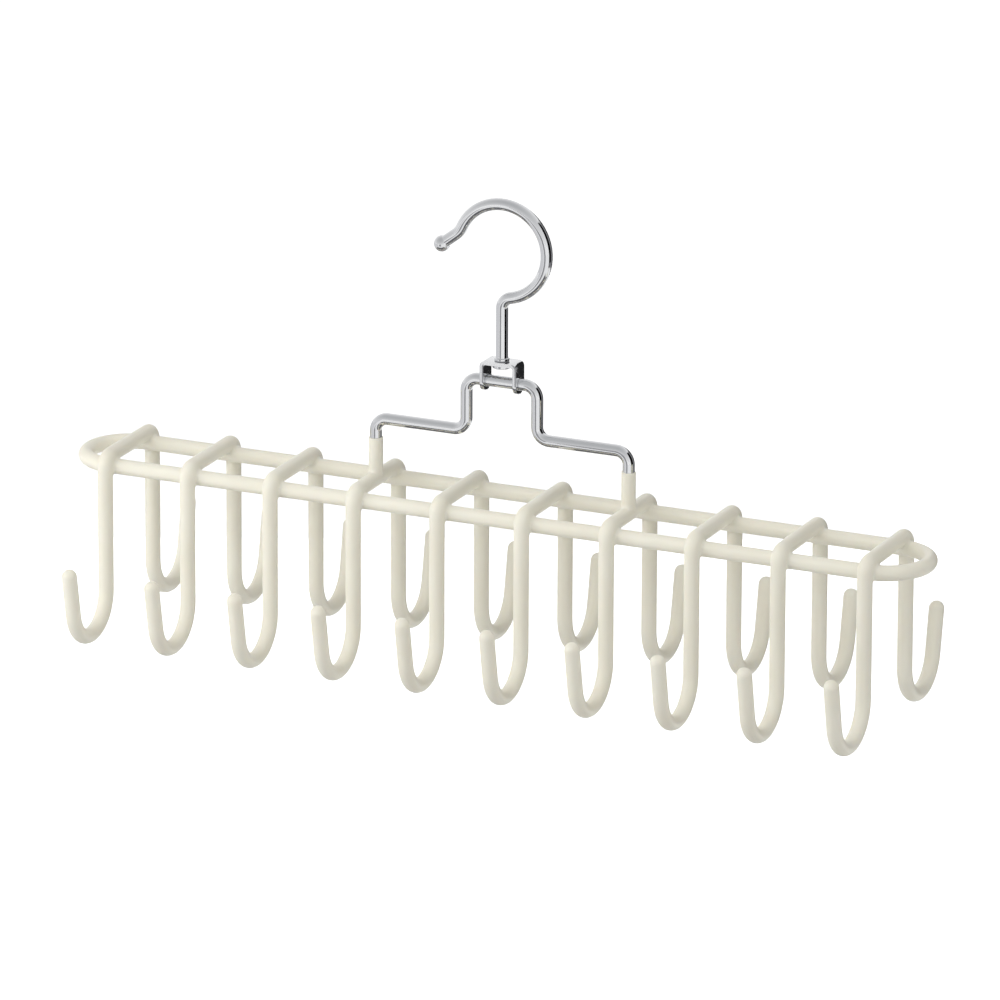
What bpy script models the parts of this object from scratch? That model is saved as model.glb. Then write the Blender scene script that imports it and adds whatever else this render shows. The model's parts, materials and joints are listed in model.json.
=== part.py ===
"""Multi-hook hanger: ten double-ended dipped hooks on a wire ring, under a chromed frame and hook.

Metres, +Z up. The origin is the inner top of the swivel hook's loop, where a closet rod carries the
hanger. +X runs along the rack, and each hook lies in its own plane across it.
"""

import math

import bmesh
import bpy
from mathutils import Matrix, Vector

MM = 0.001
GAP = 0.3 * MM  # between pieces that touch

# Swivel hook, bent from one chromed wire
HOOK_WIRE = 4.7 * MM
LOOP_RADIUS = 18.3 * MM  # to the wire's centreline
FOOT_RADIUS = 4.5 * MM  # bend between the shank and the loop
TIP_RADIUS = 8.0 * MM  # reverse bend before the ball
TIP_HEADING = 217.3  # degrees from +X, the way that the tip points
BALL_OUT = 6.6 * MM  # from the loop's circle out to the ball's centre, level with the loop's
BALL_DIAMETER = 6.4 * MM
SHANK_RUN = 20.6 * MM  # straight shank above the bracket
COLLAR_LIP = 0.55 * MM  # the collar's step out from the wire
COLLAR_HEIGHT = 1.1 * MM
NECK_DIAMETER = 4.0 * MM  # inside the bracket's hole
HEAD_LIP = 1.6 * MM  # the upset head's step out from the neck
HEAD_HEIGHT = 1.2 * MM

# Swivel bracket, a stamped strip bent to a U
BRACKET_SHEET = 1.5 * MM
BRACKET_BEND = 0.65 * MM  # inside radius
HEAD_SIDE_ROOM = 2.45 * MM  # from the hook's head to each ear
HEAD_UNDER_ROOM = 3.15 * MM  # from the hook's head down to the bar
EYE_WALL = 1.25 * MM  # round the hole for the bar

# Frame, bent from one chromed wire
FRAME_WIRE = 4.7 * MM
FRAME_BEND = 5.0 * MM
BAR_PLAY = 2.1 * MM  # how far the bracket could slide along the bar before each bend
RISER_RUN = 10.9 * MM  # straight part of a riser
BARE_LEG = 3.0 * MM  # between the shoulder's bend and the dip coat
DIP_HEIGHT = 20.3 * MM  # how far above the ring's plane the dip coat reaches
LEG_COAT_GAP = 0.2 * MM
LEG_COAT_WALL = 0.25 * MM

# Rack: a ring of wire and the hooks welded over it, all dipped
HOOK_COUNT = 10
HOOK_PITCH = 35.0 * MM
LEG_HOOKS = (4, 7)  # the hooks that the frame's legs stand on
CORE_WIRE = 3.8 * MM
COAT_WALL = 0.8 * MM
RAIL_SPACING = 32.8 * MM
LEG_LENGTH = 48.7 * MM  # from the cross bar's bend to the U
U_RADIUS = 14.3 * MM
ARM_FLARE = 10.7  # degrees outwards from upright
ARM_LENGTH = 17.1 * MM  # from the U to the tip's dome

# How finely the round shapes are cut
BEND_STEP = 23.0  # degrees, the most that one facet turns
DOME_STEPS = (45, 78)  # degrees up a dome
CORE_SIDES = 1  # bevel resolution: 1 gives 6 sides
WIRE_SIDES = 2  # 8 sides
ROUND_SIDES = 24
CREASE = 50.0  # degrees, the least that shows as an edge
WELD = 0.001 * MM  # joins a tube's caps to its wall

# Worked out from the sizes above
CORE_RADIUS = CORE_WIRE / 2
BORE_RADIUS = CORE_RADIUS + GAP
COAT_RADIUS = BORE_RADIUS + COAT_WALL
NEST = CORE_WIRE + GAP  # between the axes of two crossing wires
BALL_REACH = LOOP_RADIUS + BALL_OUT
COLLAR_DIAMETER = HOOK_WIRE + 2 * COLLAR_LIP
HEAD_DIAMETER = NECK_DIAMETER + 2 * HEAD_LIP
BRACKET_WIDTH = HEAD_DIAMETER + 2 * (HEAD_SIDE_ROOM + BRACKET_SHEET)
BRACKET_DEPTH = FRAME_WIRE + 2 * (GAP + EYE_WALL)
EYE_DROP = GAP + HEAD_HEIGHT + HEAD_UNDER_ROOM + FRAME_WIRE / 2  # from the plate to the bar's axis
RISER_SPACING = BRACKET_WIDTH + 2 * (BAR_PLAY + FRAME_BEND)
RISER_HEIGHT = RISER_RUN + 2 * FRAME_BEND
SHOULDER_HEIGHT = DIP_HEIGHT + BARE_LEG + FRAME_BEND  # from the ring's plane to the shoulders' axis
LOOP_Z = HOOK_WIRE / 2 - LOOP_RADIUS
FOOT_Z = LOOP_Z - math.sqrt((LOOP_RADIUS + FOOT_RADIUS) ** 2 - FOOT_RADIUS**2)
PLATE_TOP = FOOT_Z - SHANK_RUN
PLATE_UNDER = PLATE_TOP - BRACKET_SHEET
BAR_Z = PLATE_UNDER - EYE_DROP
RING_DROP = RISER_HEIGHT + SHOULDER_HEIGHT  # from the bar's axis to the ring's plane
HOOK_SPAN = RAIL_SPACING + 2 * NEST  # between a hook's two legs
LEG_SPACING = (LEG_HOOKS[1] - LEG_HOOKS[0]) * HOOK_PITCH
LEG_END = NEST + CORE_RADIUS + GAP  # above the ring's plane
LEG_COAT_BORE = FRAME_WIRE + 2 * LEG_COAT_GAP
LEG_COAT_DIAMETER = LEG_COAT_BORE + 2 * LEG_COAT_WALL


def hook_x(number):
    """Where a hook stands along the rack, numbered from 1 at the left end."""
    return (number - (HOOK_COUNT + 1) / 2) * HOOK_PITCH


def bend_wire(start, heading, moves):
    """Points of a wire in its own plane, made run by run and bend by bend as on a wire former.

    A move is (length, 0) for a straight run, or (radius, degrees) for a bend, positive to the left.
    """
    here = Vector(start)
    angle = math.radians(heading)
    points = [here]
    for size, turn in moves:
        if not turn:
            here = here + size * Vector((math.cos(angle), math.sin(angle)))
            points.append(here)
            continue
        reach = math.copysign(size, turn)
        centre = here + reach * Vector((-math.sin(angle), math.cos(angle)))
        steps = math.ceil(abs(turn) / BEND_STEP)
        for _ in range(steps):
            angle += math.radians(turn) / steps
            here = centre + reach * Vector((math.sin(angle), -math.cos(angle)))
            points.append(here)
    return points


def both_halves(half):
    """A symmetric wire from the half that starts at its middle."""
    return [Vector((-a, b)) for a, b in reversed(half[1:])] + half[1:]


def across(points):
    """Points in a hook's plane, across the rack."""
    return [Vector((0, a, b)) for a, b in points]


def along(points):
    """Points in the frame's plane, along the rack."""
    return [Vector((a, 0, b)) for a, b in points]


def flat(points):
    """Points in the ring's plane."""
    return [Vector((a, b, 0)) for a, b in points]


def material(name, colour, metallic, roughness):
    made = bpy.data.materials.new(name)
    made.use_nodes = True
    shader = made.node_tree.nodes["Principled BSDF"]
    shader.inputs["Base Color"].default_value = (*colour, 1)
    shader.inputs["Metallic"].default_value = metallic
    shader.inputs["Roughness"].default_value = roughness
    return made


def collection(name):
    made = bpy.data.collections.new(name)
    bpy.context.scene.collection.children.link(made)
    return made


def place(name, data, parent, location=(0, 0, 0), finish=None):
    """A piece of the hanger, or with no finish a cutter."""
    obj = bpy.data.objects.new(name, data)
    obj.parent = parent
    obj.location = location
    if finish:
        if not data.materials:
            data.materials.append(finish)
        PARTS.objects.link(obj)
    else:
        obj.hide_render = True
        obj.display_type = "WIRE"
        CUTTERS.objects.link(obj)
    return obj


def axis(name, parent, location):
    """An empty on a joint's axis, which carries the pieces that turn about it."""
    obj = bpy.data.objects.new(name, None)
    obj.parent = parent
    obj.location = location
    obj.empty_display_size = HOOK_PITCH
    PARTS.objects.link(obj)
    return obj


def cut(obj, other, operation="DIFFERENCE"):
    step = obj.modifiers.new(other.name, "BOOLEAN")
    step.operation = operation
    step.object = other


def tube(name, points, radius, sides, closed=False, swell=None):
    """A round wire along the points. swell gives each point's share of the radius."""
    curve = bpy.data.curves.new(name, "CURVE")
    curve.dimensions = "3D"
    curve.bevel_depth = radius
    curve.bevel_resolution = sides
    curve.use_fill_caps = True
    spline = curve.splines.new("POLY")
    spline.points.add(len(points) - 1)
    spline.use_cyclic_u = closed
    for i, place_of in enumerate(points):
        spline.points[i].co = (*place_of, 1)
        spline.points[i].radius = swell[i] if swell else 1
    return curve


def outline(name, points, thickness, filled):
    """A flat outline of this thickness, or with filled off an open strip of this width."""
    curve = bpy.data.curves.new(name, "CURVE")
    curve.dimensions = "2D"
    curve.extrude = thickness / 2
    curve.fill_mode = "BOTH" if filled else "NONE"
    spline = curve.splines.new("POLY")
    spline.points.add(len(points) - 1)
    spline.use_cyclic_u = filled
    for i, (a, b) in enumerate(points):
        spline.points[i].co = (a, b, 0, 1)
    return curve


def smooth(mesh):
    mesh.shade_smooth()
    mesh.set_sharp_from_angle(angle=math.radians(CREASE))


def as_mesh(curve):
    """A curve made a welded mesh, so that it can be cut."""
    guide = bpy.data.objects.new(curve.name, curve)
    bpy.context.scene.collection.objects.link(guide)
    graph = bpy.context.evaluated_depsgraph_get()
    mesh = bpy.data.meshes.new_from_object(guide.evaluated_get(graph))
    mesh.name = curve.name
    bpy.data.objects.remove(guide)
    bpy.data.curves.remove(curve)
    shape = bmesh.new()
    shape.from_mesh(mesh)
    bmesh.ops.remove_doubles(shape, verts=shape.verts, dist=WELD)
    shape.to_mesh(mesh)
    shape.free()
    smooth(mesh)
    return mesh


def cylinder(name, diameter, low, high, turn=None):
    """A round solid from low to high along Z, or along the axis that the turn gives it."""
    mesh = bpy.data.meshes.new(name)
    shape = bmesh.new()
    lift = Matrix.Translation((0, 0, (low + high) / 2))
    bmesh.ops.create_cone(
        shape,
        cap_ends=True,
        segments=ROUND_SIDES,
        radius1=diameter / 2,
        radius2=diameter / 2,
        depth=high - low,
        matrix=turn @ lift if turn else lift,
    )
    shape.to_mesh(mesh)
    shape.free()
    smooth(mesh)
    return mesh


def ball_mesh(name, diameter):
    mesh = bpy.data.meshes.new(name)
    shape = bmesh.new()
    bmesh.ops.create_uvsphere(
        shape, u_segments=ROUND_SIDES // 2, v_segments=ROUND_SIDES // 3, radius=diameter / 2
    )
    shape.to_mesh(mesh)
    shape.free()
    smooth(mesh)
    return mesh


def domed(points, radius):
    """A tube's points with a dome about each end, and each point's share of the radius."""
    back = (points[0] - points[1]).normalized()
    ahead = (points[-1] - points[-2]).normalized()
    steps = [math.radians(degrees) for degrees in DOME_STEPS]
    rises = [radius * math.sin(step) for step in steps]
    shares = [math.cos(step) for step in steps]
    lead = [points[0] + back * rise for rise in reversed(rises)]
    trail = [points[-1] + ahead * rise for rise in rises]
    return lead + points + trail, shares[::-1] + [1.0] * len(points) + shares


def tip_geometry():
    """Degrees round the loop where the reverse bend starts, and the straight run from it to the ball."""
    heading = math.radians(TIP_HEADING)
    ahead = Vector((math.cos(heading), math.sin(heading)))
    aside = Vector((math.sin(heading), -math.cos(heading)))
    beside_ball = Vector((-BALL_REACH, 0)) + TIP_RADIUS * aside
    reach = beside_ball.dot(ahead)
    tangent = LOOP_RADIUS + TIP_RADIUS
    run = reach - math.sqrt(reach**2 - beside_ball.length_squared + tangent**2)
    centre = beside_ball - run * ahead
    return math.degrees(math.atan2(centre.y, centre.x)), run


def swivel_hook():
    """The loop with its ball and shank, and the turned end that the bracket swivels on."""
    seat = PLATE_TOP + GAP  # the collar's underside
    foot_turn = math.degrees(math.acos(FOOT_RADIUS / (LOOP_RADIUS + FOOT_RADIUS)))
    leave, run = tip_geometry()
    start = seat + COLLAR_HEIGHT / 2
    bends = [
        (FOOT_Z - start, 0),
        (FOOT_RADIUS, -foot_turn),
        (LOOP_RADIUS, leave + foot_turn),
        (TIP_RADIUS, TIP_HEADING - leave - 90),
        (run, 0),
    ]
    wire = along(bend_wire((0, start), 90, bends))
    body = as_mesh(tube("swivel_hook", wire, HOOK_WIRE / 2, WIRE_SIDES))
    hook = place("swivel_hook", body, None, finish=CHROME)
    ball = place("hook_ball", ball_mesh("hook_ball", BALL_DIAMETER), hook, wire[-1])
    cut(hook, ball, "UNION")
    under = PLATE_UNDER - GAP
    turned_end = (
        ("hook_collar", COLLAR_DIAMETER, seat, seat + COLLAR_HEIGHT),
        ("hook_neck", NECK_DIAMETER, under - HEAD_HEIGHT / 2, start),
        ("hook_head", HEAD_DIAMETER, under - HEAD_HEIGHT, under),
    )
    for name, diameter, low, high in turned_end:
        cut(hook, place(name, cylinder(name, diameter, low, high), hook), "UNION")
    return hook


def swivel_bracket(pivot):
    """A strip bent over the frame's bar, with a hole for the shank and an eye in each ear for the bar."""
    middle = EYE_DROP + BRACKET_SHEET / 2
    bend = BRACKET_BEND + BRACKET_SHEET / 2
    bends = [
        ((BRACKET_WIDTH - BRACKET_SHEET) / 2 - bend, 0),
        (bend, -90),
        (middle - bend + BRACKET_DEPTH, 0),
    ]
    strip = both_halves(bend_wire((0, middle), 0, bends))
    sheet = as_mesh(outline("swivel_bracket", strip, 2 * BRACKET_DEPTH, filled=False))
    bracket = place("swivel_bracket", sheet, pivot, finish=CHROME)
    bracket.rotation_euler = (math.pi / 2, 0, 0)
    wall = bracket.modifiers.new("sheet", "SOLIDIFY")
    wall.thickness = BRACKET_SHEET
    wall.offset = 0
    wall.use_even_offset = True
    ear = bend_wire(
        (BRACKET_DEPTH / 2, middle + BRACKET_DEPTH),
        -90,
        [(middle + BRACKET_DEPTH, 0), (BRACKET_DEPTH / 2, -180), (middle + BRACKET_DEPTH, 0)],
    )
    side = as_mesh(outline("bracket_side", ear, 2 * BRACKET_WIDTH, filled=True))
    shape = place("bracket_side", side, pivot)
    shape.rotation_euler = (math.pi / 2, 0, math.pi / 2)
    cut(bracket, shape, "INTERSECT")
    shank_hole = cylinder("shank_hole", NECK_DIAMETER + 2 * GAP, EYE_DROP - GAP, middle + BRACKET_SHEET)
    cut(bracket, place("shank_hole", shank_hole, pivot))
    lie = Matrix.Rotation(math.pi / 2, 4, "Y")
    eye = cylinder("bar_eye", FRAME_WIRE + 2 * GAP, -BRACKET_WIDTH, BRACKET_WIDTH, lie)
    cut(bracket, place("bar_eye", eye, pivot))


def frame_wire(pivot):
    """The bar that the bracket tilts on, the risers, shoulders and legs, from one wire."""
    bends = [
        (RISER_SPACING / 2 - FRAME_BEND, 0),
        (FRAME_BEND, -90),
        (RISER_HEIGHT - 2 * FRAME_BEND, 0),
        (FRAME_BEND, 90),
        ((LEG_SPACING - RISER_SPACING) / 2 - 2 * FRAME_BEND, 0),
        (FRAME_BEND, -90),
        (SHOULDER_HEIGHT - FRAME_BEND - LEG_END, 0),
    ]
    wire = along(both_halves(bend_wire((0, 0), 0, bends)))
    place("frame_wire", tube("frame_wire", wire, FRAME_WIRE / 2, WIRE_SIDES), pivot, finish=CHROME)


def leg_coat(name, ring_plane, number):
    """The dip coat on one leg of the frame, seated over the hook's cross bar."""
    foot = (hook_x(number), 0, 0)
    coat = place(name, cylinder(name, LEG_COAT_DIAMETER, NEST, DIP_HEIGHT), ring_plane, foot, PVC)
    bore = cylinder(name + "_bore", LEG_COAT_BORE, 0, 2 * DIP_HEIGHT)
    cut(coat, place(name + "_bore", bore, ring_plane, foot))
    turn = Matrix.Translation((0, 0, NEST)) @ Matrix.Rotation(math.pi / 2, 4, "X")
    room = 2 * (COAT_RADIUS + GAP)
    saddle = cylinder(name + "_saddle", room, -LEG_COAT_DIAMETER, LEG_COAT_DIAMETER, turn)
    cut(coat, place(name + "_saddle", saddle, ring_plane, foot))


def ring_points():
    """The ring's wire: two straight rails with half circles about the end hooks."""
    end = hook_x(HOOK_COUNT)
    half = [(2 * end, 0), (RAIL_SPACING / 2, 180)]
    return flat(bend_wire((-end, -RAIL_SPACING / 2), 0, half + half)[:-1])


def hook_points(extra=0.0):
    """A double-ended hook's wire, from tip to tip over the ring. extra lengthens it at both tips."""
    bends = [
        (HOOK_SPAN / 2 - NEST, 0),
        (NEST, -90),
        (LEG_LENGTH, 0),
        (U_RADIUS, 180 - ARM_FLARE),
        (ARM_LENGTH + extra, 0),
    ]
    return across(both_halves(bend_wire((0, NEST), 0, bends)))


def ring(ring_plane):
    """The ring's wire and its dip coat. Returns the coat, and the cutter that clears it from the hooks."""
    points = ring_points()
    core = tube("ring_wire", points, CORE_RADIUS, CORE_SIDES, closed=True)
    place("ring_wire", core, ring_plane, finish=STEEL)
    skin = as_mesh(tube("ring_coat", points, COAT_RADIUS, WIRE_SIDES, closed=True))
    coat = place("ring_coat", skin, ring_plane, finish=PVC)
    bore = as_mesh(tube("ring_bore", points, BORE_RADIUS, CORE_SIDES, closed=True))
    cut(coat, place("ring_bore", bore, ring_plane))
    room = as_mesh(tube("ring_room", points, COAT_RADIUS + GAP, WIRE_SIDES, closed=True))
    return coat, place("ring_room", room, ring_plane)


def hooks(ring_plane, ring_coat, ring_room):
    """Ten hooks: each a wire welded over both rails, in its own dip coat."""
    wire = tube("hook_wire", hook_points(), CORE_RADIUS, CORE_SIDES)
    skin_points, shares = domed(hook_points(), COAT_RADIUS)
    skin = as_mesh(tube("hook_coat", skin_points, COAT_RADIUS, WIRE_SIDES, swell=shares))
    bore = as_mesh(tube("hook_bore", hook_points(GAP), BORE_RADIUS, CORE_SIDES))
    leg_room = cylinder("leg_room", FRAME_WIRE + 2 * GAP, LEG_END - GAP, DIP_HEIGHT)
    for number in range(1, HOOK_COUNT + 1):
        where = (hook_x(number), 0, 0)
        place(f"hook_wire_{number:02d}", wire, ring_plane, where, STEEL)
        coat = place(f"hook_coat_{number:02d}", skin, ring_plane, where, PVC)
        hollow = place(f"hook_bore_{number:02d}", bore, ring_plane, where)
        cut(coat, hollow)
        cut(coat, ring_room)
        cut(ring_coat, hollow)
        if number in LEG_HOOKS:
            cut(coat, place(f"leg_room_{number:02d}", leg_room, ring_plane, where))


for old in list(bpy.data.objects):
    bpy.data.objects.remove(old)
PARTS = collection("multi_hook_hanger")
CUTTERS = collection("cutters")
CHROME = material("chrome_plate", (0.78, 0.78, 0.79), 1.0, 0.12)
STEEL = material("steel_wire", (0.42, 0.42, 0.43), 1.0, 0.4)
PVC = material("cream_pvc", (0.83, 0.8, 0.68), 0.0, 0.35)

HOOK = swivel_hook()
SWIVEL_AXIS = axis("swivel_axis", HOOK, (0, 0, BAR_Z))
swivel_bracket(SWIVEL_AXIS)
TILT_AXIS = axis("tilt_axis", SWIVEL_AXIS, (0, 0, 0))
frame_wire(TILT_AXIS)
RING_PLANE = axis("ring_plane", TILT_AXIS, (0, 0, -RING_DROP))
leg_coat("leg_coat_left", RING_PLANE, LEG_HOOKS[0])
leg_coat("leg_coat_right", RING_PLANE, LEG_HOOKS[1])
hooks(RING_PLANE, *ring(RING_PLANE))
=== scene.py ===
"""Looks of the multi-hook hanger: chromed wire over a long rack of hooks in cream dip coat.

Metres, in the frame of the CAD model: the origin is the inner top of the swivel hook's loop, +Z is up
and +X runs along the rack.
"""

import json
import math

import bpy
from mathutils import Matrix, Vector


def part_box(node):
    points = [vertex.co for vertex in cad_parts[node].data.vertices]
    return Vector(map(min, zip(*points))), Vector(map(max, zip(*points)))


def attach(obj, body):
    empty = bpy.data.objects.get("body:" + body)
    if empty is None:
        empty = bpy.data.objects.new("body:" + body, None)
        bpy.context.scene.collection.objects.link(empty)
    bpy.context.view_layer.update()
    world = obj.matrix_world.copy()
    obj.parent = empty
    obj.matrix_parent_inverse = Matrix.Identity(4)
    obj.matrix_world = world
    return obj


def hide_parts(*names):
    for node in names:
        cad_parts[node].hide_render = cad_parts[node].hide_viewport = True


MM = 0.001
X = Vector((1, 0, 0))
Y = Vector((0, 1, 0))
Z = Vector((0, 0, 1))

# Swivel hook. Bends are to the wire's centreline
HOOK_RADIUS = 2.35 * MM
LOOP_RADIUS = 18.3 * MM
FOOT_RADIUS = 4.5 * MM
TIP_RADIUS = 8.0 * MM
TIP_HEADING = 217.3  # degrees from +X
BALL_REACH = 24.9 * MM  # from the loop's centre
BALL_RADIUS = 3.2 * MM
COLLAR_RADIUS = 2.9 * MM
COLLAR_HEIGHT = 1.1 * MM
NECK_RADIUS = 2.0 * MM
HEAD_RADIUS = 3.6 * MM
HEAD_HEIGHT = 1.2 * MM
TURNED_EDGE = 0.2 * MM

# Swivel bracket
STRIP = 1.5 * MM  # thickness
STRIP_BEND = 1.4 * MM
SHANK_HOLE_RADIUS = 2.3 * MM
BAR_EYE_RADIUS = 2.5 * MM
STAMPED_EDGE = 0.12 * MM
SWIVEL_PLAY = 0.04 * MM  # between the plate and the collar or the head

# Frame
FRAME_RADIUS = 2.35 * MM
FRAME_BEND = 5.0 * MM
RISER_SPACING = 29.3 * MM
RISER_HEIGHT = 20.9 * MM
LEG_FOOT = 6.3 * MM  # this and the dip line are heights above the ring's plane
DIP_HEIGHT = 20.3 * MM
LEG_DIP_RADIUS = 2.8 * MM

# Rack
DIP_RADIUS = 3.0 * MM
RAIL_SPACING = 32.8 * MM
NEST = 4.1 * MM  # from a rail's axis to the wire that crosses it
LEG_LENGTH = 48.7 * MM
U_RADIUS = 14.3 * MM
ARM_FLARE = 10.7  # degrees from upright
ARM_LENGTH = 17.1 * MM
HOOKS = [f"{number:02d}" for number in range(1, 11)]
LEGS = {"left": "04", "right": "07"}  # the hooks that the frame's legs stand on

# The coat pools where wires cross
FILLET = 0.35 * MM
HOOK_VOXEL = 0.42 * MM
LEG_VOXEL = 0.3 * MM
POOL_REACH = 6.0 * MM  # along a rail or a cross bar
TUCK = 0.03 * MM  # how far a pool's ends lie under the coat that they run into
DIP_TILT = 3.0  # degrees from level at the dip line
DIP_EDGE = 0.2 * MM

# How finely the pieces are drawn
WIRE_SIDES = 40
BEND_STEP = 6.0  # degrees a facet
DOME_STEP = 12.0
POLE = 8.0  # degrees from the pole to the first ring of a dome
EDGE_FACETS = 3
SEAM = 0.01 * MM  # points closer than this are one
SLIVER = 0.002 * MM  # edges shorter than this are dropped
TURNED_CORNER = 30  # these are the degrees from which a corner is rounded
STAMPED_CORNER = 40
DIP_CORNER = 50
SMOOTH_BELOW = 35  # degrees under which facets shade as one surface

# Grain of the finishes
CLOUD_SIZE = 28 * MM  # faint clouds in the coat's cream
SATIN_SIZE = 6 * MM  # patches of more and less gloss on it
WAVE_SIZE = 5 * MM
WAVE_DEPTH = 0.15 * MM
GLOW_DEPTH = 1.5 * MM  # how far light spreads in the coat
SCALE_SIZE = 1.5 * MM  # flakes of scale on bare wire

# Camera, at the photograph's view
VIEW_TURN = 24.2  # degrees to the right of the rack's front
VIEW_RISE = 17.67
VIEW_ROLL = 0.2
VIEW_DISTANCE = 3.93
LENS = 372.9  # this and the sensor are in millimetres
SENSOR = 36
AIM = Vector((-0.6 * MM, 0, -114.3515 * MM))

# Studio
FLOOR_Z = -0.42
FLOOR_SIZE = 30
FLOOR_LIFT = 0.78  # glow that the floor adds for what sees it
FILL = 0.29  # strength of the light from all round
LAMP_DISTANCE = 0.9
LAMP_SIZE = 0.65
CARD_DISTANCE = 0.7
CARD_FOOT = FLOOR_Z + 10 * MM
FLAG_FOOT = -0.288  # where the dark flag at the right turns grey
TABLE_Z = FLOOR_Z + 3 * MM
MAT_Z = FLOOR_Z + 5 * MM
DIM_TURN = -48.4  # the ceiling's darkest place, in degrees to the right of the camera
DIM_RISE = 60
DIM_START = 0.15  # cosine of the angle from there at which it starts to dim


def linear(value):
    """One sRGB value from 0 to 1 as linear light."""
    return value / 12.92 if value <= 0.04045 else ((value + 0.055) / 1.055) ** 2.4


def colour(code):
    """An sRGB hex colour as linear RGBA."""
    return (*(linear(int(code[i : i + 2], 16) / 255) for i in (0, 2, 4)), 1)


def add(tree, kind, settings=(), **inputs):
    """A node with its settings. Each input is a value or the socket that feeds it, and in_0 is the first."""
    node = tree.nodes.new(kind)
    for name, value in dict(settings).items():
        setattr(node, name, value)
    for name, value in inputs.items():
        key = int(name[3:]) if name.startswith("in_") else name.replace("_", " ")
        if isinstance(value, bpy.types.NodeSocket):
            tree.links.new(value, node.inputs[key])
        else:
            node.inputs[key].default_value = value
    return node


def material(name):
    """A new material, its node tree and its shader."""
    made = bpy.data.materials.new(name)
    made.use_nodes = True
    return made, made.node_tree, made.node_tree.nodes["Principled BSDF"]


def plastisol():
    """Plastisol: PVC dipped on hot wire and cured. It gives the eye a soft satin over an even cream, and
    the faint waves of a coat that flowed before it set."""
    made, tree, shader = material("plastisol_dip_coat")
    place = add(tree, "ShaderNodeTexCoord").outputs["Object"]
    cloud = add(tree, "ShaderNodeTexNoise", Vector=place, Scale=1 / CLOUD_SIZE, Detail=2.0)
    tint = add(tree, "ShaderNodeValToRGB", Fac=cloud.outputs["Fac"])
    tint.color_ramp.elements[0].position = 0.3
    tint.color_ramp.elements[0].color = colour("EFEBDC")
    tint.color_ramp.elements[1].position = 0.7
    tint.color_ramp.elements[1].color = colour("F3F0E2")
    tree.links.new(tint.outputs["Color"], shader.inputs["Base Color"])
    patch = add(tree, "ShaderNodeTexNoise", Vector=place, Scale=1 / SATIN_SIZE, Detail=3.0)
    satin = add(tree, "ShaderNodeMapRange", Value=patch.outputs["Fac"], To_Min=0.3, To_Max=0.42)
    tree.links.new(satin.outputs["Result"], shader.inputs["Roughness"])
    wave = add(tree, "ShaderNodeTexNoise", Vector=place, Scale=1 / WAVE_SIZE, Detail=1.0)
    relief = add(tree, "ShaderNodeBump", Height=wave.outputs["Fac"], Strength=0.25, Distance=WAVE_DEPTH)
    tree.links.new(relief.outputs["Normal"], shader.inputs["Normal"])
    shader.inputs["IOR"].default_value = 1.53
    shader.inputs["Subsurface Weight"].default_value = 0.15
    shader.inputs["Subsurface Radius"].default_value = (1.0, 0.8, 0.5)
    shader.inputs["Subsurface Scale"].default_value = GLOW_DEPTH
    return made


def chrome(name, flaw, depth, clear, hazy):
    """Bright chrome plate. It gives the eye sharp dark lines and lights that waver a little, because the
    bare metal under it had flaws of this size and depth. The roughness runs from clear to hazy with them."""
    made, tree, shader = material(name)
    place = add(tree, "ShaderNodeTexCoord").outputs["Object"]
    flaws = add(tree, "ShaderNodeTexNoise", Vector=place, Scale=1 / flaw, Detail=4.0)
    haze = add(tree, "ShaderNodeMapRange", Value=flaws.outputs["Fac"], To_Min=clear, To_Max=hazy)
    tree.links.new(haze.outputs["Result"], shader.inputs["Roughness"])
    relief = add(tree, "ShaderNodeBump", Height=flaws.outputs["Fac"], Strength=0.3, Distance=depth)
    tree.links.new(relief.outputs["Normal"], shader.inputs["Normal"])
    shader.inputs["Base Color"].default_value = colour("DEDFE1")
    shader.inputs["Metallic"].default_value = 1.0
    return made


def drawn_steel():
    """Drawn mild steel wire. It would give the eye a dull grey from the die, but it lies under the coat."""
    made, tree, shader = material("drawn_steel")
    place = add(tree, "ShaderNodeTexCoord").outputs["Object"]
    scale = add(tree, "ShaderNodeTexNoise", Vector=place, Scale=1 / SCALE_SIZE, Detail=4.0)
    haze = add(tree, "ShaderNodeMapRange", Value=scale.outputs["Fac"], To_Min=0.35, To_Max=0.55)
    tree.links.new(haze.outputs["Result"], shader.inputs["Roughness"])
    shader.inputs["Base Color"].default_value = colour("8E8F91")
    shader.inputs["Metallic"].default_value = 1.0
    return made


def round_section(name, start, heading, radius, closed=False):
    """A round section square to the heading, open for a closed loop and otherwise a disc, with its rim
    selected in edit mode."""
    bpy.ops.object.select_all(action="DESELECT")
    bpy.ops.mesh.primitive_circle_add(
        vertices=WIRE_SIDES,
        radius=radius,
        fill_type="NOTHING" if closed else "TRIFAN",
        location=start,
        rotation=heading.to_track_quat("Z", "Y").to_euler(),
    )
    return opened(name)


def strip_section(name, start, thickness, width):
    """A flat section of a strip that runs up, thickness along X and width along Y, with its rim selected
    in edit mode."""
    bpy.ops.object.select_all(action="DESELECT")
    bpy.ops.mesh.primitive_plane_add(size=1, location=start)
    bpy.context.active_object.scale = (thickness, width, 1)
    return opened(name)


def opened(name):
    """Names the new section, applies its place and selects its rim in edit mode."""
    piece = bpy.context.active_object
    piece.name = name
    piece.data.name = name
    bpy.ops.object.transform_apply()
    bpy.ops.object.mode_set(mode="EDIT")
    bpy.context.tool_settings.mesh_select_mode = (False, True, False)
    bpy.ops.mesh.select_all(action="DESELECT")
    bpy.ops.mesh.select_non_manifold()
    return piece


def dome_steps(start, end):
    """Each pair of neighbours among the rings of a dome, in radians from its near pole, between two angles
    in degrees."""
    steps = math.ceil((end - start) / DOME_STEP)
    rings = [math.radians(start + (end - start) * i / steps) for i in range(steps + 1)]
    return list(zip(rings, rings[1:]))


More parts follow.
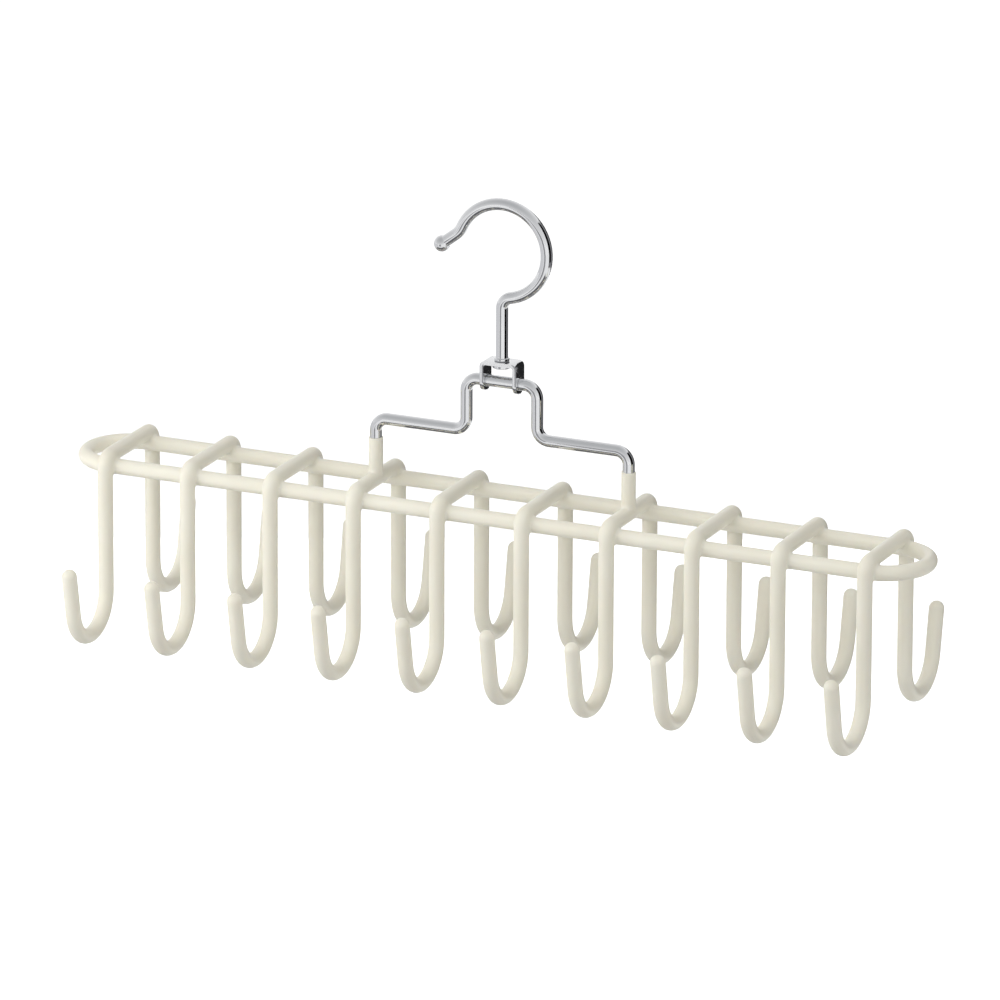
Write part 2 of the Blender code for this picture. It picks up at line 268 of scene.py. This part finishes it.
class Former:
    """Draws the selected section along runs and bends in one plane, as a wire former does.

    A bend of positive degrees turns about the plane's normal by the right-hand rule. The radius is that
    of a round section.
    """

    def __init__(self, start, heading, normal, radius=None):
        self.here = start
        self.heading = heading
        self.normal = normal
        self.radius = radius

    def run(self, length):
        """Goes straight on."""
        step = self.heading * length
        bpy.ops.mesh.extrude_region_move(TRANSFORM_OT_translate={"value": step})
        self.here = self.here + step

    def bend(self, radius, degrees):
        """Goes round a bend, whose radius is to the centreline."""
        arm = math.copysign(radius, degrees) * self.normal.cross(self.heading)
        centre = self.here + arm
        steps = math.ceil(abs(degrees) / BEND_STEP)
        # The operator turns the other way from the right-hand rule
        bpy.ops.mesh.spin(steps=steps, angle=-math.radians(degrees), center=centre, axis=self.normal)
        turn = Matrix.Rotation(math.radians(degrees), 3, self.normal)
        self.here = centre - turn @ arm
        self.heading = turn @ self.heading

    def follow(self, moves):
        """Each move is (length, 0) for a run or (radius, degrees) for a bend."""
        for size, degrees in moves:
            if degrees:
                self.bend(size, degrees)
            else:
                self.run(size)

    def swell(self, radius, rise=0.0):
        """Goes on by the rise, and out or in to a new radius there."""
        self.run(rise)
        share = radius / self.radius
        bpy.ops.transform.resize(value=(share, share, share))
        self.radius = radius

    def over_ball(self, radius, start, end):
        """Rings over a ball that the heading passes through, between two angles from its near pole."""
        for last, ring in dome_steps(start, end):
            self.swell(radius * math.sin(ring), radius * (math.cos(last) - math.cos(ring)))


def close_end():
    """Closes the selected rim with a fan."""
    bpy.ops.mesh.extrude_region_move()
    bpy.ops.mesh.merge(type="CENTER")
    leave_edit()


def close_loop():
    """Joins a loop's two ends."""
    bpy.ops.mesh.select_all(action="SELECT")
    bpy.ops.mesh.remove_doubles(threshold=SEAM)
    leave_edit()


def leave_edit():
    """Turns all faces outwards and leaves edit mode."""
    bpy.ops.mesh.select_all(action="SELECT")
    bpy.ops.mesh.normals_make_consistent(inside=False)
    bpy.ops.object.mode_set(mode="OBJECT")


def select(*pieces):
    """Selects these pieces alone, with the first one active."""
    bpy.ops.object.select_all(action="DESELECT")
    for piece in pieces:
        piece.select_set(True)
    bpy.context.view_layer.objects.active = pieces[0]


def apply_modifier(piece, kind, **settings):
    """Adds a modifier with these settings and applies it."""
    select(piece)
    step = piece.modifiers.new(kind.lower(), kind)
    for name, value in settings.items():
        setattr(step, name, value)
    bpy.ops.object.modifier_apply(modifier=step.name)


def round_edges(piece, width, corner):
    """Rounds the edges of corners sharper than this."""
    apply_modifier(piece, "BEVEL", width=width, segments=EDGE_FACETS, angle_limit=math.radians(corner))


def copy_of(piece, name, shift):
    """A copy with a mesh of its own, moved by the shift."""
    select(piece)
    bpy.ops.object.duplicate()
    copied = bpy.context.active_object
    copied.name = name
    copied.data.name = name
    copied.location = shift
    bpy.ops.object.transform_apply()
    return copied


def join(name, *pieces):
    """The pieces as one."""
    select(*pieces)
    bpy.ops.object.join()
    joined = bpy.context.active_object
    joined.name = name
    joined.data.name = name
    return joined


def drill(piece, radius, length, centre, along):
    """A round hole right through the piece."""
    bpy.ops.object.select_all(action="DESELECT")
    bpy.ops.mesh.primitive_cylinder_add(
        vertices=WIRE_SIDES,
        radius=radius,
        depth=length,
        location=centre,
        rotation=along.to_track_quat("Z", "Y").to_euler(),
    )
    drill_bit = bpy.context.active_object
    apply_modifier(piece, "BOOLEAN", operation="DIFFERENCE", object=drill_bit)
    bpy.data.objects.remove(drill_bit)


def finish(piece, coat, body, node):
    """Gives the piece its material and its body, and hides the CAD node that it stands for."""
    select(piece)
    bpy.ops.object.shade_smooth_by_angle(angle=math.radians(SMOOTH_BELOW))
    piece.data.materials.clear()
    piece.data.materials.append(coat)
    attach(piece, body)
    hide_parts(node)


def middle(name):
    """The middle of a CAD node's box."""
    low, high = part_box(name)
    return (low + high) / 2


def tip_geometry():
    """Degrees round the loop where the reverse bend starts, and the straight run from it to the ball."""
    heading = math.radians(TIP_HEADING)
    ahead = Vector((math.cos(heading), math.sin(heading)))
    aside = Vector((math.sin(heading), -math.cos(heading)))
    beside_ball = Vector((-BALL_REACH, 0)) + TIP_RADIUS * aside
    reach = beside_ball.dot(ahead)
    run = reach - math.sqrt(reach**2 - beside_ball.length_squared + (LOOP_RADIUS + TIP_RADIUS) ** 2)
    centre = beside_ball - run * ahead
    return math.degrees(math.atan2(centre.y, centre.x)), run


def swivel_hook(plate_top, plate_under):
    """From the upset head under the bracket's plate, up the shank and round the loop to the ball."""
    head = plate_under - SWIVEL_PLAY
    seat = plate_top + SWIVEL_PLAY
    loop_z = HOOK_RADIUS - LOOP_RADIUS
    foot_z = loop_z - math.sqrt((LOOP_RADIUS + FOOT_RADIUS) ** 2 - FOOT_RADIUS**2)
    foot_turn = math.degrees(math.acos(FOOT_RADIUS / (LOOP_RADIUS + FOOT_RADIUS)))
    leave, run = tip_geometry()
    start = Vector((0, 0, head - HEAD_HEIGHT))
    piece = round_section("swivel_hook_plated", start, Z, HEAD_RADIUS)
    former = Former(start, Z, -Y, HEAD_RADIUS)
    former.run(HEAD_HEIGHT)
    former.swell(NECK_RADIUS)
    former.run(seat - head)
    former.swell(COLLAR_RADIUS)
    former.run(COLLAR_HEIGHT)
    former.swell(HOOK_RADIUS)
    former.follow(
        [
            (foot_z - seat - COLLAR_HEIGHT, 0),
            (FOOT_RADIUS, -foot_turn),
            (LOOP_RADIUS, leave + foot_turn),
            (TIP_RADIUS, TIP_HEADING - leave - 90),
        ]
    )
    root = math.degrees(math.asin(HOOK_RADIUS / BALL_RADIUS))
    former.run(run - BALL_RADIUS * math.cos(math.radians(root)))
    former.over_ball(BALL_RADIUS, root, 180 - POLE)
    close_end()
    round_edges(piece, TURNED_EDGE, TURNED_CORNER)
    return piece


def swivel_bracket(low, high, bar_z):
    """A strip bent to a U over the bar, with round ends about the bar and holes for it and the shank."""
    width = high.y - low.y
    end = width / 2
    ear_x = (high.x - low.x - STRIP) / 2
    first = Vector((-ear_x, 0, bar_z - end * math.cos(math.radians(POLE))))
    piece = strip_section("swivel_bracket_plated", first, STRIP, width * math.sin(math.radians(POLE)))
    former = Former(first, Z, -Y)
    round_end = dome_steps(POLE, 90)
    for last, ring in round_end:
        former.run(end * (math.cos(last) - math.cos(ring)))
        bpy.ops.transform.resize(value=(1, math.sin(ring) / math.sin(last), 1))
    ear = high.z - STRIP / 2 - STRIP_BEND - bar_z
    former.follow([(ear, 0), (STRIP_BEND, -90), (2 * (ear_x - STRIP_BEND), 0), (STRIP_BEND, -90), (ear, 0)])
    for ring, last in reversed(round_end):
        former.run(end * (math.cos(ring) - math.cos(last)))
        bpy.ops.transform.resize(value=(1, math.sin(ring) / math.sin(last), 1))
    bpy.ops.mesh.edge_face_add()
    leave_edit()
    drill(piece, SHANK_HOLE_RADIUS, 4 * STRIP, Vector((0, 0, high.z)), Z)
    drill(piece, BAR_EYE_RADIUS, 2 * (high.x - low.x), Vector((0, 0, bar_z)), X)
    round_edges(piece, STAMPED_EDGE, STAMPED_CORNER)
    bpy.ops.object.mode_set(mode="EDIT")
    bpy.ops.mesh.select_all(action="SELECT")
    bpy.ops.mesh.dissolve_degenerate(threshold=SLIVER)
    leave_edit()
    return piece


def frame_wire(bar_z, ring_z, leg_x):
    """From the left leg up over the shoulder and riser to the bar, and down again."""
    shoulder = (leg_x - RISER_SPACING / 2) - 2 * FRAME_BEND
    leg = bar_z - RISER_HEIGHT - FRAME_BEND - ring_z - LEG_FOOT
    start = Vector((-leg_x, 0, ring_z + LEG_FOOT))
    half = [
        (leg, 0),
        (FRAME_BEND, -90),
        (shoulder, 0),
        (FRAME_BEND, 90),
        (RISER_HEIGHT - 2 * FRAME_BEND, 0),
        (FRAME_BEND, -90),
    ]
    piece = round_section("frame_wire_plated", start, Z, FRAME_RADIUS)
    former = Former(start, Z, -Y, FRAME_RADIUS)
    former.follow([*half, (RISER_SPACING - 2 * FRAME_BEND, 0), *reversed(half)])
    close_end()
    return piece


def wire(name, radius, start, heading, normal, moves):
    """A wire with domed ends. Its centreline starts at the start, where the first dome ends."""
    pole = start - radius * math.cos(math.radians(POLE)) * heading
    rim = radius * math.sin(math.radians(POLE))
    piece = round_section(name, pole, heading, rim)
    former = Former(pole, heading, normal, rim)
    former.over_ball(radius, POLE, 90)
    former.follow(moves)
    former.over_ball(radius, 90, 180 - POLE)
    close_end()
    return piece


def hook_shape(radius, x, ring_z):
    """A double-ended hook, from one tip over both rails to the other."""
    flare = math.radians(ARM_FLARE)
    down = Vector((0, math.sin(flare), -math.cos(flare)))
    inwards = Vector((0, math.cos(flare), math.sin(flare)))
    turn = Vector((x, -RAIL_SPACING / 2 - NEST - U_RADIUS, ring_z - LEG_LENGTH))
    start = turn - U_RADIUS * inwards - ARM_LENGTH * down
    half = [(ARM_LENGTH, 0), (U_RADIUS, 180 - ARM_FLARE), (LEG_LENGTH, 0), (NEST, -90)]
    return wire("hook", radius, start, down, X, [*half, (RAIL_SPACING, 0), *reversed(half)])


def rail_lengths(radius, x, ring_z, outwards):
    """A short length of each rail at a hook. outwards is 1 or -1 at an end hook, where the length goes on
    round the ring's end, and 0 elsewhere."""
    heading = (outwards or 1) * X
    lengths = []
    for side in (-1, 1):
        start = Vector((x, side * RAIL_SPACING / 2, ring_z)) - POOL_REACH * heading
        ahead = (POOL_REACH, 0)
        if outwards:
            ahead = (RAIL_SPACING / 2, -outwards * side * math.degrees(2 * POOL_REACH / RAIL_SPACING))
        lengths.append(wire("rail", radius, start, heading, Z, [(POOL_REACH, 0), ahead]))
    return lengths


def ring_dip(ring_z, end_x):
    """The ring's coat: two rails and two half circles about the end hooks."""
    start = Vector((-end_x, -RAIL_SPACING / 2, ring_z))
    half = [(2 * end_x, 0), (RAIL_SPACING / 2, 180)]
    piece = round_section("ring_dip", start, X, DIP_RADIUS + TUCK, closed=True)
    Former(start, X, Z).follow(half + half)
    close_loop()
    return piece


def pooled(name, voxel, *swollen):
    """One skin over wires that are swollen by the fillet, drawn back by it. That rounds the corners where
    they meet, as a coat that flows before it sets does."""
    piece = join(name, *swollen)
    apply_modifier(piece, "REMESH", mode="VOXEL", voxel_size=voxel, use_smooth_shade=True)
    apply_modifier(piece, "SMOOTH", factor=0.5, iterations=2)
    apply_modifier(piece, "DISPLACE", strength=-FILLET, mid_level=0, direction="NORMAL")
    apply_modifier(piece, "SMOOTH", factor=0.5, iterations=2)
    return piece


def hook_dip(number, x, ring_z, outwards):
    """The coat of a double-ended hook, which runs into that of the rails."""
    swollen = DIP_RADIUS + FILLET
    hook = hook_shape(swollen, x, ring_z)
    return pooled(f"hook_dip_{number}", HOOK_VOXEL, hook, *rail_lengths(swollen, x, ring_z, outwards))


def leg_dip(side, x, ring_z):
    """The coat of a frame leg, which runs into the cross bar's and ends at the dip line."""
    foot = Vector((x, 0, ring_z + NEST))
    dip_line = Vector((x, 0, ring_z + DIP_HEIGHT + DIP_EDGE))
    leg = wire("leg", LEG_DIP_RADIUS + FILLET, foot, Z, X, [(DIP_HEIGHT, 0)])
    bar = wire("bar", DIP_RADIUS - TUCK + FILLET, foot - POOL_REACH * Y, Y, X, [(2 * POOL_REACH, 0)])
    piece = pooled(f"leg_dip_{side}", LEG_VOXEL, leg, bar)
    bpy.ops.object.mode_set(mode="EDIT")
    bpy.ops.mesh.select_all(action="SELECT")
    level = Matrix.Rotation(math.radians(math.copysign(DIP_TILT, x)), 3, Y) @ Z
    bpy.ops.mesh.bisect(plane_co=dip_line, plane_no=level, use_fill=True, clear_outer=True)
    leave_edit()
    round_edges(piece, DIP_EDGE, DIP_CORNER)
    return piece


def direction(turn, rise):
    """Away from the object, turn degrees to the right of the camera and rise degrees up."""
    a, b = math.radians(VIEW_TURN + turn), math.radians(rise)
    return Vector((math.sin(a) * math.cos(b), -math.cos(a) * math.cos(b), math.sin(b)))


def camera():
    """The camera, far off with a long lens."""
    data = bpy.data.cameras.new("camera")
    data.lens = LENS
    data.sensor_width = SENSOR
    made = bpy.data.objects.new("camera", data)
    bpy.context.scene.collection.objects.link(made)
    away = direction(0, VIEW_RISE)
    made.location = AIM + VIEW_DISTANCE * away
    look = (-away).to_track_quat("-Z", "Y").to_matrix() @ Matrix.Rotation(math.radians(VIEW_ROLL), 3, "Z")
    made.rotation_euler = look.to_euler()
    bpy.context.scene.camera = made


def softbox(name, turn, rise, watts, width=LAMP_SIZE, height=LAMP_SIZE):
    """A soft lamp that faces the object. The polished metal doesn't show it."""
    data = bpy.data.lights.new(name, "AREA")
    data.shape = "RECTANGLE"
    data.size = width
    data.size_y = height
    data.energy = watts
    made = bpy.data.objects.new(name, data)
    bpy.context.scene.collection.objects.link(made)
    away = direction(turn, rise)
    made.location = AIM + LAMP_DISTANCE * away
    made.rotation_euler = (-away).to_track_quat("-Z", "Y").to_euler()
    made.visible_camera = False
    made.visible_glossy = False


def sheet(name, shade, centre, facing, width, depth):
    """A sheet that only shows in polished metal, where it has this shade."""
    bpy.ops.object.select_all(action="DESELECT")
    bpy.ops.mesh.primitive_plane_add(
        size=1, location=centre, rotation=facing.to_track_quat("Z", "Y").to_euler()
    )
    made = bpy.context.active_object
    made.name = name
    made.scale = (width, depth, 1)
    made.visible_camera = False
    made.visible_diffuse = False
    made.visible_shadow = False
    paint, tree, shader = material(name)
    tree.nodes.remove(shader)
    glow = add(tree, "ShaderNodeEmission", Color=colour(shade), Strength=1.0)
    tree.links.new(glow.outputs["Emission"], tree.nodes["Material Output"].inputs["Surface"])
    made.data.materials.append(paint)


def card(name, shade, start, end, top, bottom=CARD_FOOT):
    """An upright sheet, as a flag beside a studio table is, between two angles in degrees to the right of
    the camera and two heights."""
    a, b = (CARD_DISTANCE * direction(turn, 0) for turn in (start, end))
    across = b - a
    sheet(name, shade, (a + b) / 2 + (bottom + top) / 2 * Z, across.cross(Z), across.length, top - bottom)


def seen_rays(tree):
    """1 for rays from the camera, polished metal or clear glass, and 0 for those that light things."""
    path = add(tree, "ShaderNodeLightPath").outputs
    most = {"operation": "MAXIMUM"}
    bounced = add(tree, "ShaderNodeMath", most, in_0=path["Is Glossy Ray"], in_1=path["Is Transmission Ray"])
    seen = add(tree, "ShaderNodeMath", most, in_0=path["Is Camera Ray"], in_1=bounced.outputs[0])
    return seen.outputs[0]


def room():
    """The air round the table: soft fill for what it lights, and for what sees it white that dims towards
    the ceiling at the left of the camera."""
    world = bpy.data.worlds.new("studio")
    bpy.context.scene.world = world
    world.use_nodes = True
    tree = world.node_tree
    tree.nodes.clear()
    path = add(tree, "ShaderNodeLightPath").outputs
    way = add(tree, "ShaderNodeTexCoord").outputs["Generated"]
    dim = direction(DIM_TURN, DIM_RISE)
    near = add(tree, "ShaderNodeVectorMath", {"operation": "DOT_PRODUCT"}, in_0=way, in_1=dim)
    ceiling = add(tree, "ShaderNodeValToRGB", Fac=near.outputs["Value"])
    ceiling.color_ramp.elements[0].position = DIM_START
    ceiling.color_ramp.elements[0].color = colour("FFFFFF")
    ceiling.color_ramp.elements[1].position = 1.0
    ceiling.color_ramp.elements[1].color = colour("C4C5C6")
    seen = add(
        tree, "ShaderNodeMixRGB", in_0=path["Is Camera Ray"], in_1=ceiling.outputs[0], in_2=(1, 1, 1, 1)
    )
    white = add(tree, "ShaderNodeBackground", Color=seen.outputs[0], Strength=1.0)
    fill = add(tree, "ShaderNodeBackground", Color=colour("F6F5F2"), Strength=FILL)
    both = add(
        tree, "ShaderNodeMixShader", in_0=seen_rays(tree), in_1=fill.outputs[0], in_2=white.outputs[0]
    )
    add(tree, "ShaderNodeOutputWorld", Surface=both.outputs[0])


def floor():
    """A pale floor that keeps the object's shadow."""
    bpy.ops.object.select_all(action="DESELECT")
    bpy.ops.mesh.primitive_plane_add(size=FLOOR_SIZE, location=(0, 0, FLOOR_Z))
    made = bpy.context.active_object
    made.name = "floor"
    paint, tree, shader = material("floor_paint")
    shader.inputs["Base Color"].default_value = colour("F2F2F2")
    shader.inputs["Roughness"].default_value = 0.9
    lift = add(tree, "ShaderNodeMath", {"operation": "MULTIPLY"}, in_0=seen_rays(tree), in_1=FLOOR_LIFT)
    glow = add(tree, "ShaderNodeEmission", Color=(1, 1, 1, 1), Strength=lift.outputs[0])
    both = add(tree, "ShaderNodeAddShader", in_0=shader.outputs[0], in_1=glow.outputs[0])
    tree.links.new(both.outputs[0], tree.nodes["Material Output"].inputs["Surface"])
    made.data.materials.append(paint)


def studio():
    """A white table in a white room, soft lamps, and cards that draw the dark lines in the chrome."""
    room()
    floor()
    softbox("key", turn=-45, rise=42, watts=3.3, width=0.8, height=0.7)
    softbox("rim", turn=-80, rise=8, watts=3.2)
    softbox("top", turn=45, rise=65, watts=1.9)
    softbox("side", turn=55, rise=8, watts=1.4)
    softbox("back", turn=180, rise=0, watts=1.3)
    card("dark_flag_right", "060607", start=46, end=90, top=0.6, bottom=FLAG_FOOT)
    card("dark_flag_right_foot", "7C7C7E", start=46, end=90, top=FLAG_FOOT)
    card("grey_flag_right", "8C8C8E", start=90, end=118, top=0.5)
    card("dark_flag_back", "262627", start=118, end=152, top=0.35)
    card("grey_flag_left", "A2A2A4", start=-45, end=-17, top=-0.05)
    card("pale_flag_left", "E2E2E4", start=-150, end=-56, top=-0.05)
    sheet("table_top", "FFFFFF", Vector((0, 0, TABLE_Z)), Z, width=3.0, depth=3.0)
    sheet("table_mat", "6E6E71", Vector((-0.1, -0.09, MAT_Z)), Z, width=1.0, depth=0.6)


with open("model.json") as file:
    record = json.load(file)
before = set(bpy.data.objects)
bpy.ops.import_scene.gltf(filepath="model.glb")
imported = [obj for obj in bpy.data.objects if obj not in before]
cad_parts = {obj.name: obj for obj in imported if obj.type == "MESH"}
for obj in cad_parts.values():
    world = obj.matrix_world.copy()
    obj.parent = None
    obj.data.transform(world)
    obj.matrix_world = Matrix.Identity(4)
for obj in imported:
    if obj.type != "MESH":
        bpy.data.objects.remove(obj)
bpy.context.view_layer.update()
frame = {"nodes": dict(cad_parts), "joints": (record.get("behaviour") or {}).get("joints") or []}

chrome_wire = chrome("chrome_on_wire", flaw=0.9 * MM, depth=0.01 * MM, clear=0.05, hazy=0.11)
chrome_strip = chrome("chrome_on_stamped_strip", flaw=0.5 * MM, depth=0.02 * MM, clear=0.08, hazy=0.15)
dip_coat = plastisol()
bare_wire = drawn_steel()
# The pieces below stand for all the nodes but the wires under the coat
for node in frame["nodes"].values():
    node.data.materials.clear()
    node.data.materials.append(bare_wire)

bar_z = frame["joints"][0]["pos_m"][2]
ring_z = middle("ring_coat").z
end_x = middle(f"hook_coat_{HOOKS[-1]}").x
leg_x = middle(f"hook_coat_{LEGS['right']}").x
low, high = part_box("swivel_bracket")

finish(swivel_hook(high.z, high.z - STRIP), chrome_wire, "hook", "swivel_hook")
finish(swivel_bracket(low, high, bar_z), chrome_strip, "bracket", "swivel_bracket")
finish(frame_wire(bar_z, ring_z, leg_x), chrome_wire, "rack", "frame_wire")

finish(ring_dip(ring_z, end_x), dip_coat, "rack", "ring_coat")
inner_hook = None
for number in HOOKS:
    x = middle(f"hook_coat_{number}").x
    if number in (HOOKS[0], HOOKS[-1]):
        piece = hook_dip(number, x, ring_z, math.copysign(1, x))
    elif inner_hook:
        piece = copy_of(inner_hook, f"hook_dip_{number}", (x - inner_x) * X)
    else:
        piece = inner_hook = hook_dip(number, x, ring_z, 0)
        inner_x = x
    finish(piece, dip_coat, "rack", f"hook_coat_{number}")
for side, number in LEGS.items():
    piece = leg_dip(side, middle(f"hook_coat_{number}").x, ring_z)
    finish(piece, dip_coat, "rack", f"leg_coat_{side}")

camera()
studio()
bpy.context.scene.view_settings.view_transform = "Standard"
